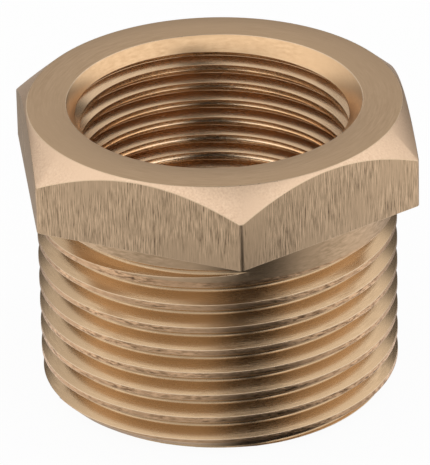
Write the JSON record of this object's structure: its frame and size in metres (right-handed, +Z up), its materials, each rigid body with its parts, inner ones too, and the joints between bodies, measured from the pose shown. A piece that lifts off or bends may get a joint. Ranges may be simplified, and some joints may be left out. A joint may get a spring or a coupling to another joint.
{
  "type": "hex bushing",
  "caption": "Solid bronze hex bushing that joins a smaller male pipe thread to a larger female one: male thread outside, hexagon head, female thread in the bore.",
  "frame": {"origin": "centre of the threaded end face, on the common axis of both threads", "axes": "+Z up the axis from the threaded end to the hexagon; a corner of the hexagon points along -Y and a pair of its flats faces +X and -X"},
  "size_m": [0.0346, 0.04, 0.0277],
  "materials": {
    "bronze": "turned threads and top face, dressed hexagon flats"
  },
  "bodies": {
    "root": {"hex_bushing": "bronze"}
  },
  "joints": []
}
